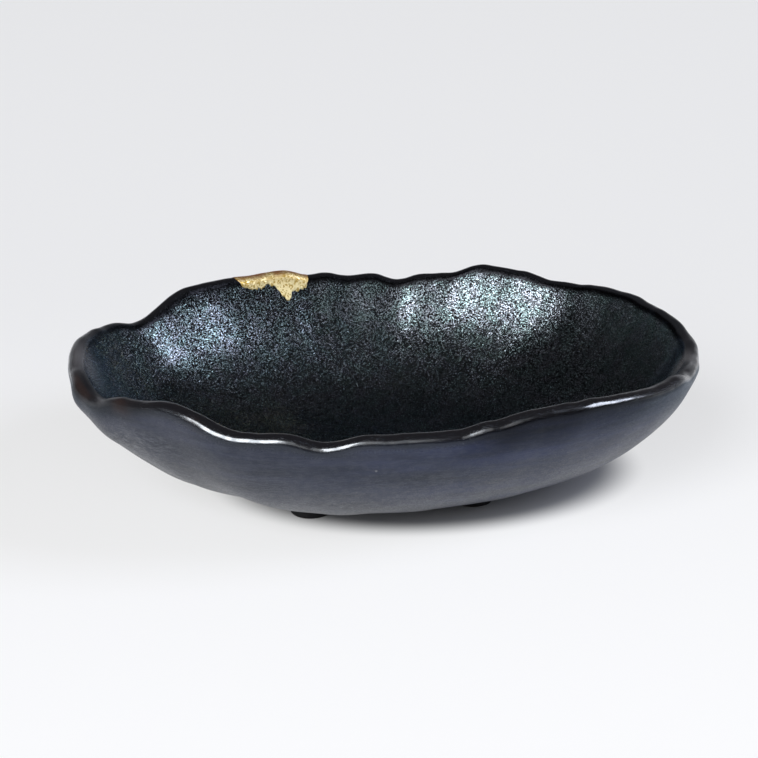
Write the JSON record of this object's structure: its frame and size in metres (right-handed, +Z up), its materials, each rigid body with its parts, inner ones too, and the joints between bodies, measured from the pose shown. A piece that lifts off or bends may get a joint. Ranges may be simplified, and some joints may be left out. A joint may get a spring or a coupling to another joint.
{
  "type": "oval serving bowl",
  "caption": "Hand-formed oval stoneware serving bowl with a black satin glaze, a wavy finger-pressed lip, button feet and a patch of gold lustre on the far rim.",
  "frame": {"origin": "on the table, under the middle of the bowl's outline", "axes": "+X along the length of the bowl, towards its low right-hand end; +Y towards the side of the lip with the gold; +Z up"},
  "size_m": [0.2518, 0.1889, 0.0614],
  "materials": {
    "black_glaze": "near-black satin glaze with a fine crystalline sparkle and a faint blue and violet sheen",
    "foot_clay": "dark iron-rich stoneware, glazed at the side and worn bare underneath",
    "gold_lustre": "speckled matt gold lustre, thin and brown at its edges"
  },
  "bodies": {
    "root": {"bowl_body": "black_glaze", "foot_front_left": "foot_clay", "foot_front_right": "foot_clay", "foot_back_left": "foot_clay", "foot_back_right": "foot_clay", "gold_patch": "gold_lustre"}
  },
  "joints": []
}
